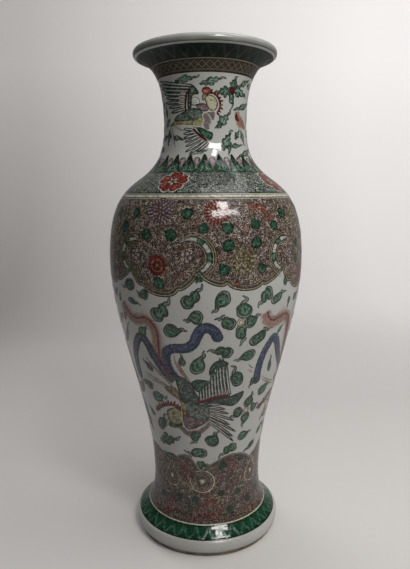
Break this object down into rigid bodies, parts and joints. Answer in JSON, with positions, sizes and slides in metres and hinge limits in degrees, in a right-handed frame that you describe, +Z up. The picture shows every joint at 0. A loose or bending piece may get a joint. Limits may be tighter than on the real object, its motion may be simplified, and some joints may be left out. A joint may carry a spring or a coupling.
{
  "type": "baluster vase",
  "caption": "Tall porcelain baluster vase with flared mouth, waisted neck, high shoulder and spreading foot, painted in enamels; holds flowers or stands for display.",
  "frame": {"origin": "centre of the foot rim's resting face", "axes": "+Z up along the vase's axis, -Y towards the side seen in the picture"},
  "size_m": [0.1792, 0.1792, 0.45],
  "materials": {
    "glazed_porcelain": "white porcelain under a clear glossy glaze",
    "luting_slip": "matt fired slip",
    "green_enamel": "translucent copper-green overglaze enamel",
    "red_enamel": "iron-red overglaze enamel",
    "yellow_enamel": "translucent yellow overglaze enamel",
    "aubergine_enamel": "manganese aubergine overglaze enamel",
    "blue_enamel": "overglaze blue enamel",
    "dark_outline": "dark outlines under the enamels"
  },
  "bodies": {
    "root": {"foot": "glazed_porcelain", "floor_slip": "luting_slip", "base_floor": "glazed_porcelain", "foot_slip": "luting_slip", "lower_body": "glazed_porcelain", "belly_slip": "luting_slip", "upper_body": "glazed_porcelain", "shoulder_slip": "luting_slip", "shoulder": "glazed_porcelain", "neck_slip": "luting_slip", "neck": "glazed_porcelain", "mouth_slip": "luting_slip", "mouth": "glazed_porcelain"}
  },
  "joints": []
}
